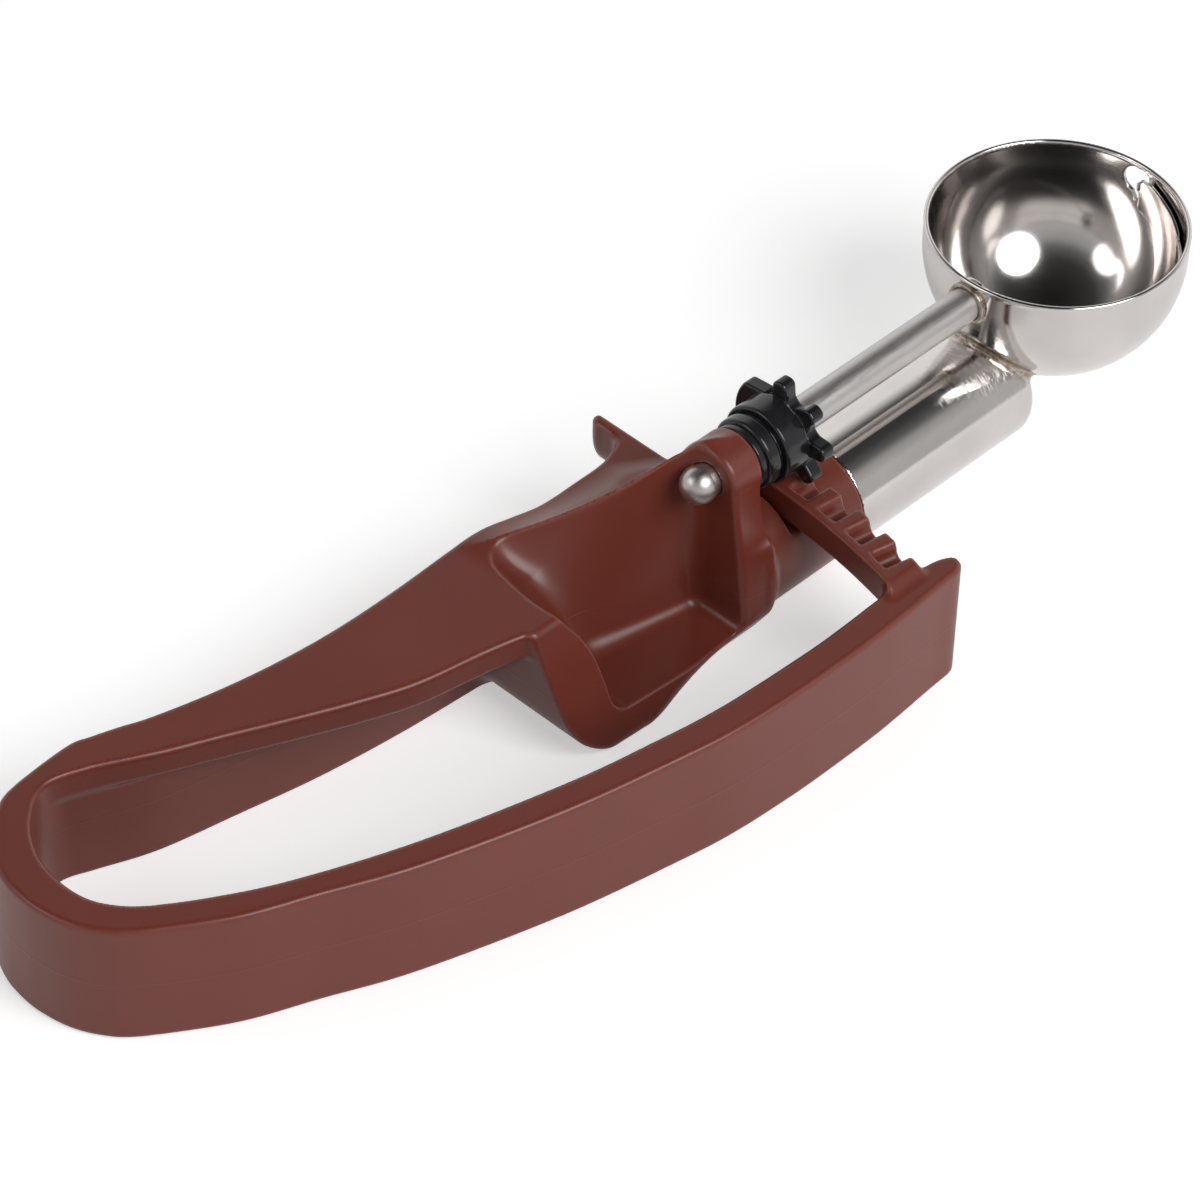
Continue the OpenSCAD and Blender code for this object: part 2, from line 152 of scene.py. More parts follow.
# Outlines of the moulding: millimetres back from the web's rear face, then sideways.
WING = [
    (-6.3, 27), (-4.8, 26.9), (-3.6, 25.8), (-3.6, 23.9), (-3, 21.6), (-0.6, 19.8), (2.1, 19.1), (7, 19),
    (14.1, 19), (19.1, 20.1), (23.8, 21.2), (29.6, 21.3), (42.2, 20.8), (53.7, 20.9), (64.2, 21.9),
    (73.9, 23.6), (83, 25.9), (87.1, 27.4), (91.4, 28.8), (95.2, 29.7),
]
HEEL = [(101.2 - 17.5 * math.cos(a), 12 + 17.5 * math.sin(a)) for a in np.radians(range(105, 181, 15))]
LEVER_OUT = [
    (118.5, 8.6), (117.8, 5.3), (116.7, 2.6), (115.2, 0.2), (113.5, -1.8), (109.6, -4.8), (100.3, -10.6),
    (89.9, -15), (76.9, -20.5), (55.2, -27), (36.5, -30.9), (27, -32.4), (15.9, -33.1), (6.6, -33.2),
    (-3.1, -33), (-13.7, -32.2), (-18.6, -31.8), (-20.3, -30.4),
]
WALL_IN = [(34, 13.2), (46.7, 14.1), (60.7, 15.8), (73.7, 18.3), (86.4, 20.9), (95.2, 24.2)]
LEVER_IN = [
    (99.6, 25.8), (103.4, 25.5), (106.6, 23.4), (109.5, 20.4), (111.8, 16.1), (112.7, 11.5), (112.3, 6.6),
    (110.4, 2.9), (107.2, -0.3), (100, -5.1), (90.2, -10.2), (73.2, -16.7), (51.2, -22.8), (37.9, -25.4),
    (25.8, -27.2), (10.3, -28), (2.1, -28), (-6.3, -27.7), (-15.7, -27.8), (-19.5, -28.9), (-20.3, -30.4),
]
LEDGE_IN = [
    (95.2, 24.2), (88.3, 20.2), (78.1, 15.6), (69.4, 11.6), (60.7, 7.8), (52.2, 4.7), (41.1, 2.6), (34, 0.9)
]
GUARD_REAR = [
    (34.4, -8.07), (34.2, -14), (33.8, -20.4), (33.1, -23.5), (31.4, -26), (28.6, -27.9), (27, -28.73)
]
POCKET_TOP = [
    (29, -14), (29.2, 1.3), (29.4, 4.2), (29.3, 7.3), (28.8, 11), (28.3, 14.3), (27.2, 16.7), (25.4, 17.7),
    (23.4, 17.2), (21, 15.4), (10, 8.1), (-2, 0.4), (-2, -14),
]
POCKET_FLOOR = [(25.3, -14), (24.9, -3), (23.6, 1.4), (19.5, 4.1), (3.1, 1.5), (-2, 0.7), (-2, -14)]
WEB_REAR = [
    (-5.3, 0), (-5.45, -1), (-6.1, -5.8), (-6.8, -10.8), (-7.4, -15.9), (-8.3, -22.3), (-8.4, -23.8),
    (-5.3, -28.8),
]
WEB_FLARE = [
    (-5.2, 0), (-5.1, -2.9), (-5.7, -6), (-7, -9.5), (-8.4, -11.2), (-8.9, -14), (-8.9, -18.8), (-8.4, -23.8),
    (-5.3, -28.8),
]


def from_web(points):
    """Distances back from the web's rear face become x."""
    p = np.array(points, float)
    p[:, 0] = WEB_BACK - p[:, 0]
    return p


def flow(points, steps=8):
    """Smooth line through points: on each span a cubic whose slope at a point is half the step between its
    neighbours."""
    p = np.asarray(points, float)
    a = np.vstack([p[:1], p, p[-1:]])
    t = (np.arange(steps) / steps)[None, :, None]
    p0, p1, p2, p3 = (a[k:len(a) - 3 + k, None] for k in range(4))
    line = p1 + (p2 - p0) * t / 2 + (p0 - 2.5 * p1 + 2 * p2 - p3 / 2) * t ** 2
    line = line + (3 * p1 - p0 - 3 * p2 + p3) * t ** 3 / 2
    return np.vstack([line.reshape(-1, 2), p[-1:]])


def spread(low, high, step):
    """Even places from low past high."""
    return low + step * np.arange(int(math.ceil((high - low) / step)) + 1)


def outline_distance(q, p):
    """Distance of each point q to the nearest edge of the closed outline p, negative where a ray to +u
    crosses it an odd number of times."""
    a, b = p[None], np.roll(p, -1, 0)[None]
    edge = b - a
    long = (edge ** 2).sum(-1) + 1e-12
    rise = np.where(np.abs(edge[..., 1]) < 1e-9, 1e-9, edge[..., 1])
    found = []
    for part in np.array_split(q, len(q) * p.shape[0] // 2000000 + 1):
        w = part[:, None] - a
        t = np.clip((w * edge).sum(-1) / long, 0, 1)
        near = np.sqrt(((w - t[..., None] * edge) ** 2).sum(-1).min(1))
        spans = (a[..., 1] > part[:, None, 1]) != (b[..., 1] > part[:, None, 1])
        crossed = spans & (w[..., 0] < edge[..., 0] * w[..., 1] / rise)
        found.append(np.where(crossed.sum(1) % 2 == 1, -near, near))
    return np.concatenate(found)


class Outline:
    """Distance to a closed outline, kept on a fine lattice and read back with the weights of a cubic spline.
    Each softening averages every place with its neighbours, one part to two to one, along both axes."""

    def __init__(self, points, cell=0.3, margin=4.0, soft=0):
        p = np.asarray(points, float)
        self.low, self.cell = p.min(0) - margin, cell
        u, v = (spread(self.low[k], p[:, k].max() + margin, cell) for k in (0, 1))
        q = np.stack(np.meshgrid(u, v, indexing="ij"), -1).reshape(-1, 2)
        self.value = outline_distance(q, p).reshape(len(u), len(v))
        for _ in range(soft):
            w = np.pad(self.value, 1, "edge")
            w = (w[:-2] + 2 * w[1:-1] + w[2:]) / 4
            self.value = (w[:, :-2] + 2 * w[:, 1:-1] + w[:, 2:]) / 4

    def __call__(self, u, v):
        n = self.value.shape
        s = np.clip((u - self.low[0]) / self.cell, 1, n[0] - 3.001)
        t = np.clip((v - self.low[1]) / self.cell, 1, n[1] - 3.001)
        i, j = s.astype(int), t.astype(int)
        total = 0.0
        for a, wa in enumerate(spline_weights(s - i)):
            row = 0.0
            for b, wb in enumerate(spline_weights(t - j)):
                row = row + wb * self.value[i + a - 1, j + b - 1]
            total = total + wa * row
        return total


def spline_weights(f):
    """Shares of the four lattice values round a place: the pieces of the cubic B-spline."""
    inner = (3 * f ** 3 - 6 * f ** 2 + 4) / 6, (1 + 3 * f + 3 * f ** 2 - 3 * f ** 3) / 6
    return (1 - f) ** 3 / 6, *inner, f ** 3 / 6


def eased(t):
    """Soft step from 0 to 1: three squares less two cubes."""
    t = np.clip(t, 0, 1)
    return t * t * (3 - 2 * t)


def slab(v, low, high):
    """Distance to the layer between two levels."""
    return np.abs(v - (low + high) / 2) - (high - low) / 2


def meet(*fields, r=0.0):
    """What lies in all the fields, with its edges rounded to radius r: the length of the parts above -r, less
    r."""
    lifted = [f + r for f in fields]
    high, square = lifted[0], np.maximum(lifted[0], 0) ** 2
    for f in lifted[1:]:
        high = np.maximum(high, f)
        square = square + np.maximum(f, 0) ** 2
    return np.minimum(high, 0) + np.sqrt(square) - r


def join(a, b, r):
    """What lies in either field, with a fillet of radius r in the corner between them."""
    u, v = np.maximum(r - a, 0), np.maximum(r - b, 0)
    return np.maximum(np.minimum(a, b), r) - np.hypot(u, v)


def carve(a, b, r=0.0):
    """The first field with the second taken out, its new edges rounded to radius r."""
    return meet(a, -b, r=r)


def crest_level(x):
    """Height of the ridge's crest: over its last 30 mm it climbs by the square of the way, fuller at the
    start, and levels off softly at the boss."""
    way = np.clip(1 - (WEB_BACK - x) / CREST_RUN, 0, 1.2)
    climb = way ** 2 * (CREST_CLIMB + CREST_FILL * (1 - way) ** 3)
    capped = climb + CREST_CAP - np.hypot(climb - CREST_CAP, 1) + math.hypot(CREST_CAP, 1) - CREST_CAP
    return GRIP_TOP + capped / 2


def heel_cut(x, y):
    """Below zero on the heel's and the frame's side: the lever begins past a line through the turning line at
    225 degrees, and lies below a line that runs from there through the grip's opening."""
    behind = (x - y + (PIVOT[1] - PIVOT[0])) / math.sqrt(2)
    beside = -((y - PIVOT[1]) * GRIP_LINE[0] + (x - PIVOT[0]) * GRIP_LINE[1]) / math.hypot(*GRIP_LINE)
    return np.minimum(behind, beside)


def near_face(x, y, drop):
    """Distance past the guard's near face: it leans out with the drop, and by a fullness that grows softly
    towards the web and evenly with the drop."""
    full = FULL * eased((x - FULL_FROM) / FULL_RUN) * np.clip(drop / FULL_DROP, 0, 1)
    return (FACE_START - FACE_SLOPE * np.maximum(drop, 0) - full - y) / math.hypot(1, FACE_SLOPE)


def behind_wing(x, y, drop):
    """What is cut away behind the wing: on the far side its rear face comes forward by the square of the drop
    past the first 2 mm, up to a limit."""
    ahead = np.minimum(WING_BEND * np.maximum(drop - WING_DROP, 0) ** 2, WING_MOST)
    return meet(x - WEB_BACK - WING_REAR - ahead, WING_SIDE - y, WEB_BACK - 6 - x, r=2)


def under_web(x, y, z):
    """Distance past the slanting face under the web, which swings away behind it by the square of the way."""
    slant = (UNDER_WAY[0] * (y - UNDER_AT[0]) + UNDER_WAY[1] * (z - UNDER_AT[1])) / UNDER_LONG
    return slant - UNDER_SWING * np.maximum(WEB_BACK - x, 0) ** 2


class Moulding:
    """The plastic moulding's fields. The frame and the lever share its outside and its hollow."""

    def __init__(self, sizes):
        self.edge = sizes.edge_round * MM
        bottom = [(-60, -30.4), (-60, 27), (-7, 27)]
        self.outside = Outline(np.vstack([from_web(bottom), flow(from_web(WING + HEEL + LEVER_OUT))]))
        front = [(-60, -30.4), (-60, 12), (10, 12)]
        self.hollow = Outline(np.vstack([from_web(front), flow(from_web(WALL_IN + LEVER_IN))]))
        far_side = from_web([(-6, 4), (-6, 60), (120, 60), (120, 34)])
        self.ledge = Outline(np.vstack([far_side, flow(from_web(LEDGE_IN)), from_web([(31, 4)])]))
        ahead = from_web([(27, -40), (-40, -40), (-40, 10), (34.4, 10)])
        self.guard_rear = Outline(np.vstack([flow(from_web(GUARD_REAR)), ahead]))
        self.pocket_top = Outline(flow(from_web(POCKET_TOP)), 0.25, 8, 100)
        self.pocket_floor = Outline(from_web(POCKET_FLOOR), 0.25, 8, 30)
        far_edge = [(5.3, -28.8), (5.3, 0)]
        self.web_rear, self.web_flare = (
            Outline(np.vstack([flow(edge, 6), far_edge]), 0.2) for edge in (WEB_REAR, WEB_FLARE)
        )
        self.tooth_space = Outline(space_outline(), 0.1, 3)

    def strip(self, x, y, z):
        """Spine, heel and lever: between the outside and the hollow, from the base to the flat top."""
        return meet(self.outside(x, y), -self.hollow(x, y), slab(z, GRIP_BASE, GRIP_TOP), r=self.edge)

    def strip_rear(self, x, y, z):
        """The strip where it is heel alone, behind the spine's end."""
        return np.maximum(self.strip(x, y, z), x - SPINE_END)

    def frame(self, x, y, z):
        """Guard block, spine wall and ledge under the flat top and its ridge, less the pocket and what is cut
        away behind the wing; then the web and the neck with its spigot, less the rack's slot and the rod's
        bore."""
        drop = GRIP_TOP - z
        guard = meet(self.guard_rear(x, z), meet(near_face(x, y, drop), GRIP_BASE - z, r=1.6), r=self.edge)
        ledge = meet(self.ledge(x, y), GRIP_TOP - LEDGE_THICK - z, r=self.edge)
        body = join(join(-self.hollow(x, y), guard, 2.5), ledge, 1.2)
        body = meet(body, self.top(x, y, z), self.outside(x, y), r=self.edge)
        body = carve(carve(body, behind_wing(x, y, drop), 1.2), self.pocket(x, y, z), 0.5)
        body = join(body, self.web(x, y, z), 2.0)
        body = meet(body, under_web(x, y, z), GRIP_BASE - z, x - WEB_FRONT, r=self.edge)
        around = np.hypot(y, z - NECK_Z)
        neck = meet(around - NECK_R, x - NECK_FRONT, NECK_REAR - x, r=0.3)
        body = carve(join(body, neck, 1.0), self.slot(x, y, z), 0.4)
        spigot = meet(around - SPIGOT_R, x - SPIGOT_FRONT, SPIGOT_REAR - x, r=0.8)
        bore = meet(np.hypot(y, z) - ROD_R - BORE_GAP, x - BORE_FRONT)
        return carve(np.minimum(body, spigot), bore, 0.25)

    def top(self, x, y, z):
        """Flat top with a ridge: its crest climbs along a line above the pocket's far edge, and past it the
        ridge falls back to the flat top by the square of what is left of its width."""
        climb = crest_level(x) - GRIP_TOP
        past = RIDGE_WAY[1] * (y - RIDGE_Y) + RIDGE_WAY[0] * (x - WEB_BACK)
        wide = RIDGE_WIDE + RIDGE_SPREAD * climb
        left = 1 - np.clip((past - RIDGE_FLAT) / wide, 0, 1)
        steep = climb * 2 * left / wide
        return (z - GRIP_TOP - climb * left ** 2) / np.sqrt(1 + steep ** 2)

    def pocket(self, x, y, z):
        """The pocket's outline turns from the floor's to the rim's as it rises to the flat top, and on the
        far side to the ridge's crest. The rear wall's near part stands upright and flares at the rim, by the
        cube of the rise."""
        floor = GRIP_BASE + POCKET_RISE
        near, rear = eased((4 - y) / 8), eased((WEB_BACK - x - 20) / 5)
        rise = np.clip((z - floor) / (crest_level(x) - floor), 0, 1.1) ** (1 + 2 * near * rear)
        low, high = self.pocket_floor(x, y), self.pocket_top(x, y)
        return meet(low + (high - low) * rise, floor - z, r=2.2)

    def web(self, x, y, z):
        """Boss and web: from its rear face forward the web's outline turns evenly from the plain to the
        flared one."""
        ahead = np.clip((x - WEB_BACK) / (WEB_FRONT - WEB_BACK), 0, 1)
        web = self.web_rear(y, z) * (1 - ahead) + self.web_flare(y, z) * ahead
        return meet(np.minimum(np.hypot(y, z) - BOSS_R, web), WEB_BACK - x, r=1.0)

    def slot(self, x, y, z):
        """Ring about the turning line, a little wider than the rack, and open above."""
        away = np.hypot(x - PIVOT[0], y - PIVOT[1])
        ring = slab(away, RACK_IN - SLOT_GAP, RACK_OUT + SLOT_GAP)
        return meet(ring, SLOT_BASE - z, np.abs(y) - SLOT_HALF, r=0.3)

    def rack(self, x, y, z):
        """Ring sector about the turning line with the tooth spaces cut into its top, each a flared trough.
        Its top dips below the lever's where it runs into the lever."""
        u, v = x - PIVOT[0], y - PIVOT[1]
        away, turn = np.hypot(u, v), np.degrees(np.arctan2(v, u))
        ends = slab(away * np.radians(turn), *(RACK_LINE * math.radians(end) for end in RACK_ENDS))
        level = RACK_TOP - RACK_DIP * eased((DIP_FROM - y) / DIP_RUN)
        bar = meet(slab(away, RACK_IN, RACK_OUT), RACK_BASE - z, z - level, ends, r=0.4)
        place = np.clip(np.round((FIRST_SPACE - turn) / SPACE_STEP), 0, LAST_SPACE)
        side = away * np.radians(turn - FIRST_SPACE + place * SPACE_STEP)
        trough = meet(self.tooth_space(side, z), RACK_IN + SPACE_WALL - away, r=0.35)
        return carve(bar, trough, 0.4)

    def lever(self, x, y, z):
        """The strip's part past the heel, with the rack growing out of its inner end. Where it runs on inside
        the heel it lies a hair lower."""
        past = heel_cut(x, y)
        part = np.maximum(self.strip(x, y, z) + LEVER_HAIR * eased(1.6 - past), -past - LEVER_LAP)
        return join(part, self.rack(x, y, z), 1.5)


def space_outline():
    """Round-bottomed trough that opens to a mouth above the rack's top."""
    a = np.radians(np.linspace(180, 360, 25))
    bottom = np.stack([SPACE_R * np.cos(a), SPACE_Z + SPACE_R * np.sin(a)], 1)
    mouth, level = SPACE_MOUTH + SPACE_FLARE * SPACE_OPEN, RACK_TOP + SPACE_OPEN
    return np.vstack([bottom, [(mouth, level), (-mouth, level)]])


def drop_hole(y, z):
    """Drop shape: two circles that overlap, and below them a point between two straight sides."""
    rings = [np.hypot(y - u, z - v) - radius for u, v, radius in DROP_RINGS]
    sides = [a * (y - u) + b * (z - v) for u, v, a, b in DROP_SIDES]
    return np.minimum(np.minimum(*rings), meet(*sides, z - DROP_TOP, r=0.3))


def bowl_field(x, y, z):
    """Sheet between a sphere and one 0.7 larger, carried up as a straight collar to a bead, with a round hole
    for the rod and a drop-shaped one across from it."""
    plan, ring = np.hypot(x, y), np.hypot(y, z)
    out = np.where(z < 0, np.sqrt(plan ** 2 + z ** 2), plan)
    sheet = np.maximum(slab(out, BOWL_IN, BOWL_OUT), z - BEAD_Z)
    bead = np.hypot(plan - BEAD_RING, z - BEAD_Z) - BEAD_R
    body = carve(join(sheet, bead, 0.15), np.maximum(ring - ROD_HOLE_R, x))
    return carve(body, np.maximum(drop_hole(y, z), -x), 0.12)


def shank_field(x, y, z):
    """Tube closed by a rounded end, with a fillet of braze up to the bowl's outside."""
    ring = np.hypot(y, z - NECK_Z)
    away = np.sqrt(x ** 2 + y ** 2 + z ** 2)
    tube = meet(ring - NECK_R, x - SHANK_END, r=2.3)
    body = join(tube, away - BOWL_OUT + 0.02, 1.5)
    body = meet(body, ring - NECK_R - BRAZE_WIDE, BOWL_IN + HALF_SHEET - away)
    body = meet(body, NECK_FRONT - x, r=0.15)
    return carve(body, meet(ring - SHANK_IN, x - SHANK_FLOOR, r=1.5), 0.15)


def scraper_field():
    """Slice of a thin sphere, with a hub round the rod and a tab that narrows towards the hole."""
    tab = Outline(BLADE_TAB, 0.1, 3)
    (rise, run), (fall, back) = ((math.sin(a), math.cos(a)) for a in np.radians(BLADE_SPAN))

    def field(x, y, z):
        ring, away = np.hypot(y, z), np.sqrt(x ** 2 + y ** 2 + z ** 2)
        wedge = np.maximum(y * rise - z * run, z * back - y * fall)
        hub = np.maximum(ring - HUB_R, x + BLADE_ENDS)
        ear = np.maximum(tab(y, z), BLADE_ENDS - x)
        body = meet(slab(away, BLADE_IN, BLADE_OUT), join(join(wedge, hub, 1.0), ear, 0.5), r=0.2)
        return carve(body, np.maximum(ring - ROD_R, x))

    return field


def lug_field(x, y, z):
    """The scraper's narrow end, bent outwards through the hole: a small block with rounded edges."""
    return meet(*(slab(v, low, high) for v, (low, high) in zip((x, y, z), LUG)), r=0.28)


def pinion_field():
    """Six rounded teeth and a flat-sided stop block round a barrel, then a groove and a flange."""
    stop = Outline(STOP, 0.1, 3)

    def field(x, y, z):
        ring = np.hypot(y, z)
        root = ring - ROOT_R
        for place in range(-4, 2):
            turn = math.radians(TOOTH_START + TOOTH_STEP * place)
            along = y * math.cos(turn) + z * math.sin(turn)
            across = -y * math.sin(turn) + z * math.cos(turn)
            half = np.abs(across) - TOOTH_HALF + TOOTH_TAPER * (along - TOOTH_MID)
            tooth = meet(half, along - TIP_R, r=1.0)
            root = join(root, np.maximum(tooth, 3 - along), 0.9)
        root = join(root, meet(stop(y, z), ring - STOP_R, r=0.35), 0.4)
        teeth = meet(root, slab(x, *TEETH_X), r=0.35)
        barrel = meet(ring - BARREL_R, slab(x, *BARREL_X), r=0.45)
        groove = np.maximum(ring - GROOVE_R, slab(x, *GROOVE_X))
        flange = meet(ring - FLANGE_R, slab(x, *FLANGE_X), r=0.55)
        body = join(join(np.minimum(teeth, barrel), groove, 0.2), flange, 0.2)
        return carve(body, ring - ROD_R)

    return field


def skin(field, low, high, cell, shade=None):
    """Mesh where a field is zero. Each lattice cell that the surface crosses gets one point, the mean of the
    crossings on its edges, moved down the slope onto the surface; each crossed lattice edge joins the four
    cells round it."""
    axes = [spread(a, b, cell) for a, b in zip(low, high)]
    value = field(axes[0][:, None, None], axes[1][None, :, None], axes[2][None, None, :])
    value = np.ascontiguousarray(np.broadcast_to(value, [len(a) for a in axes]), np.float32)
    inside = value < 0
    shape = np.array(value.shape) - 1
    corners, unit = [np.array(c) for c in np.ndindex(2, 2, 2)], np.eye(3, dtype=int)
    count = np.zeros(shape, np.int8)
    for i, j, k in corners:
        count += inside[i:i + shape[0], j:j + shape[1], k:k + shape[2]]
    cells = np.argwhere((count > 0) & (count < 8))
    at = [value[tuple((cells + c).T)] for c in corners]
    total, hits = np.zeros((len(cells), 3)), np.zeros(len(cells))
    for m, c in enumerate(corners):
        for axis in range(3):
            if c[axis] == 0:
                a, b = at[m], at[m + 4 // 2 ** axis]
                crossed = (a < 0) != (b < 0)
                share = np.where(crossed, a / np.where(crossed, a - b, 1), 0)
                total += crossed[:, None] * (c + share[:, None] * unit[axis])
                hits += crossed
    points = np.array(low) + cell * (cells + total / hits[:, None])
    number = np.full(shape, -1, np.int32)
    number[tuple(cells.T)] = np.arange(len(cells))
    quads = []
    for axis in range(3):
        one, two = (axis + 1) % 3, (axis + 2) % 3
        edge = np.argwhere(np.diff(inside, axis=axis))
        u, v = edge[:, one], edge[:, two]
        edge = edge[(u > 0) & (u < shape[one]) & (v > 0) & (v < shape[two])]
        ring = [edge - a * unit[one] - b * unit[two] for a, b in ((1, 1), (0, 1), (0, 0), (1, 0))]
        quad = np.stack([number[tuple(c.T)] for c in ring], 1)
        out = inside[tuple(edge.T)]
        quads.append(np.where(out[:, None], quad, quad[:, ::-1]))
    start = points
    for _ in range(3):
        here, slope = steepest(field, points)
        move = -here[:, None] * slope / np.maximum((slope ** 2).sum(1), 0.3)[:, None]
        points = points + shortened(move, 0.4 * cell)
        points = start + shortened(points - start, 0.8 * cell)
    normals = steepest(shade or field, points)[1]
    normals /= np.maximum(np.linalg.norm(normals, axis=1), 1e-9)[:, None]
    return points, [np.concatenate(quads)], normals


def shortened(way, most):
    """Each vector cut down to a greatest length."""
    far = np.linalg.norm(way, axis=1, keepdims=True)
    return way * np.minimum(1, most / np.maximum(far, 1e-9))


def steepest(field, p, h=0.04):
    """Value and slope of a field at points: half the difference across a short step each way."""
    x, y, z = p.T
    slope = np.stack([
        field(x + h, y, z) - field(x - h, y, z), field(x, y + h, z) - field(x, y - h, z),
        field(x, y, z + h) - field(x, y, z - h)
    ], 1) / (2 * h)
    return field(x, y, z), slope


def bent(field, p, h=0.45):
    """How sharply the surface turns at points: the sum of the field's steps both ways along each axis."""
    x, y, z = p.T
    around = field(x + h, y, z) + field(x - h, y, z) + field(x, y + h, z) + field(x, y - h, z)
    return (around + field(x, y, z + h) + field(x, y, z - h) - 6 * field(x, y, z)) / h


def rounded(corners, radii, steps=6, closed=False):
    """Line through corners, each replaced by a parabola that starts and ends one radius away; gives points
    and the outward normals to the right of the line."""
    p, r = np.array(corners, float), np.array(radii, float)
    before, after = np.roll(p, 1, 0) - p, np.roll(p, -1, 0) - p
    if not closed:
        before[0], after[-1] = -after[0], -before[-1]
    before, after = (v / np.maximum(np.linalg.norm(v, axis=1), 1e-9)[:, None] for v in (before, after))
    a, b = p + before * r[:, None], p + after * r[:, None]
    t = np.linspace(0, 1, steps)[None, :, None]
    line = (1 - t) ** 2 * a[:, None] + 2 * t * (1 - t) * p[:, None] + t * t * b[:, None]
    slope = t * after[:, None] - (1 - t) * before[:, None]
    line, slope = line.reshape(-1, 2), slope.reshape(-1, 2)
    slope /= np.maximum(np.linalg.norm(slope, axis=1), 1e-9)[:, None]
    return line, np.stack([slope[:, 1], -slope[:, 0]], 1)


def lathe(line, normals, sides=96, closed=False):
    """A profile of (x, radius) carried round the rod's axis. An open one starts and ends on the axis, and its
    ends become poles."""
    turn = 2 * np.pi * np.arange(sides) / sides

    def ring(q):
        parts = [np.repeat(q[:, :1], sides, 1), q[:, 1:] * np.cos(turn), q[:, 1:] * np.sin(turn)]
        return np.stack(parts, -1).reshape(-1, 3)

    keep = slice(None) if closed else slice(1, -1)
    points, out = ring(line[keep]), ring(normals[keep])
    n = len(line[keep])
    i, j = np.meshgrid(np.arange(n if closed else n - 1), np.arange(sides), indexing="ij")
    k, m = (i + 1) % n, (j + 1) % sides
    faces = [np.stack([i * sides + j, i * sides + m, k * sides + m, k * sides + j], -1).reshape(-1, 4)]
    for end, row in () if closed else ((0, 0), (-1, n - 1)):
        tip, j = np.full(sides, len(points)), np.arange(sides)
        points = np.vstack([points, [line[end, 0], 0, 0]])
        out = np.vstack([out, [np.sign(line[end, 0] - line[keep, 0].mean()), 0, 0]])
        fan = np.stack([row * sides + j, tip, row * sides + (j + 1) % sides], 1)
        faces.append(fan if end == 0 else fan[:, ::-1])
    return points, faces, out


def piece(name, points, faces, normals, finish, edge_bend=None):
    """One mesh object at the origin with its place in its mesh, smooth normals and its resting place in
    millimetres."""
    mesh = bpy.data.meshes.new(name)
    mesh.vertices.add(len(points))
    mesh.vertices.foreach_set("co", ((points + ORIGIN) / MM).ravel())
    corners = np.concatenate([f.ravel() for f in faces])
    sizes = np.concatenate([np.full(len(f), f.shape[1]) for f in faces])
    mesh.loops.add(len(corners))
    mesh.loops.foreach_set("vertex_index", corners.astype(np.int32))
    mesh.polygons.add(len(sizes))
    mesh.polygons.foreach_set("loop_start", (np.cumsum(sizes) - sizes).astype(np.int32))
    mesh.polygons.foreach_set("use_smooth", np.ones(len(sizes), bool))
    mesh.update(calc_edges=True)
    # The bend layer holds how sharply the surface turns; the plastic paints highlights on outer edges and
    # shade in hollows from it.
    layers = ("rest", "FLOAT_VECTOR", "vector", points), ("edge_bend", "FLOAT", "value", edge_bend)
    for key, kind, field, values in layers:
        if values is not None:
            data = mesh.attributes.new(key, kind, "POINT").data
            data.foreach_set(field, values.astype(np.float32).ravel())
    mesh.normals_split_custom_set_from_vertices(normals)
    mesh.materials.append(finish)
    built = bpy.data.objects.new(name, mesh)
    bpy.context.scene.collection.objects.link(built)
    return built


class Wire:
    """A shader socket that Python's operators work on, each adding one Math node."""

    def __init__(self, nodes, socket):
        self.nodes, self.socket = nodes, socket

    def _math(self, operation, other):
        return self.nodes.node("Math", {"operation": operation}, {0: self, 1: other})

    def __add__(self, other):
        return self._math("ADD", other)

    def __sub__(self, other):
        return self._math("SUBTRACT", other)

    def __mul__(self, other):
        return self._math("MULTIPLY", other)

    def __abs__(self):
        return self._math("ABSOLUTE", 0.0)


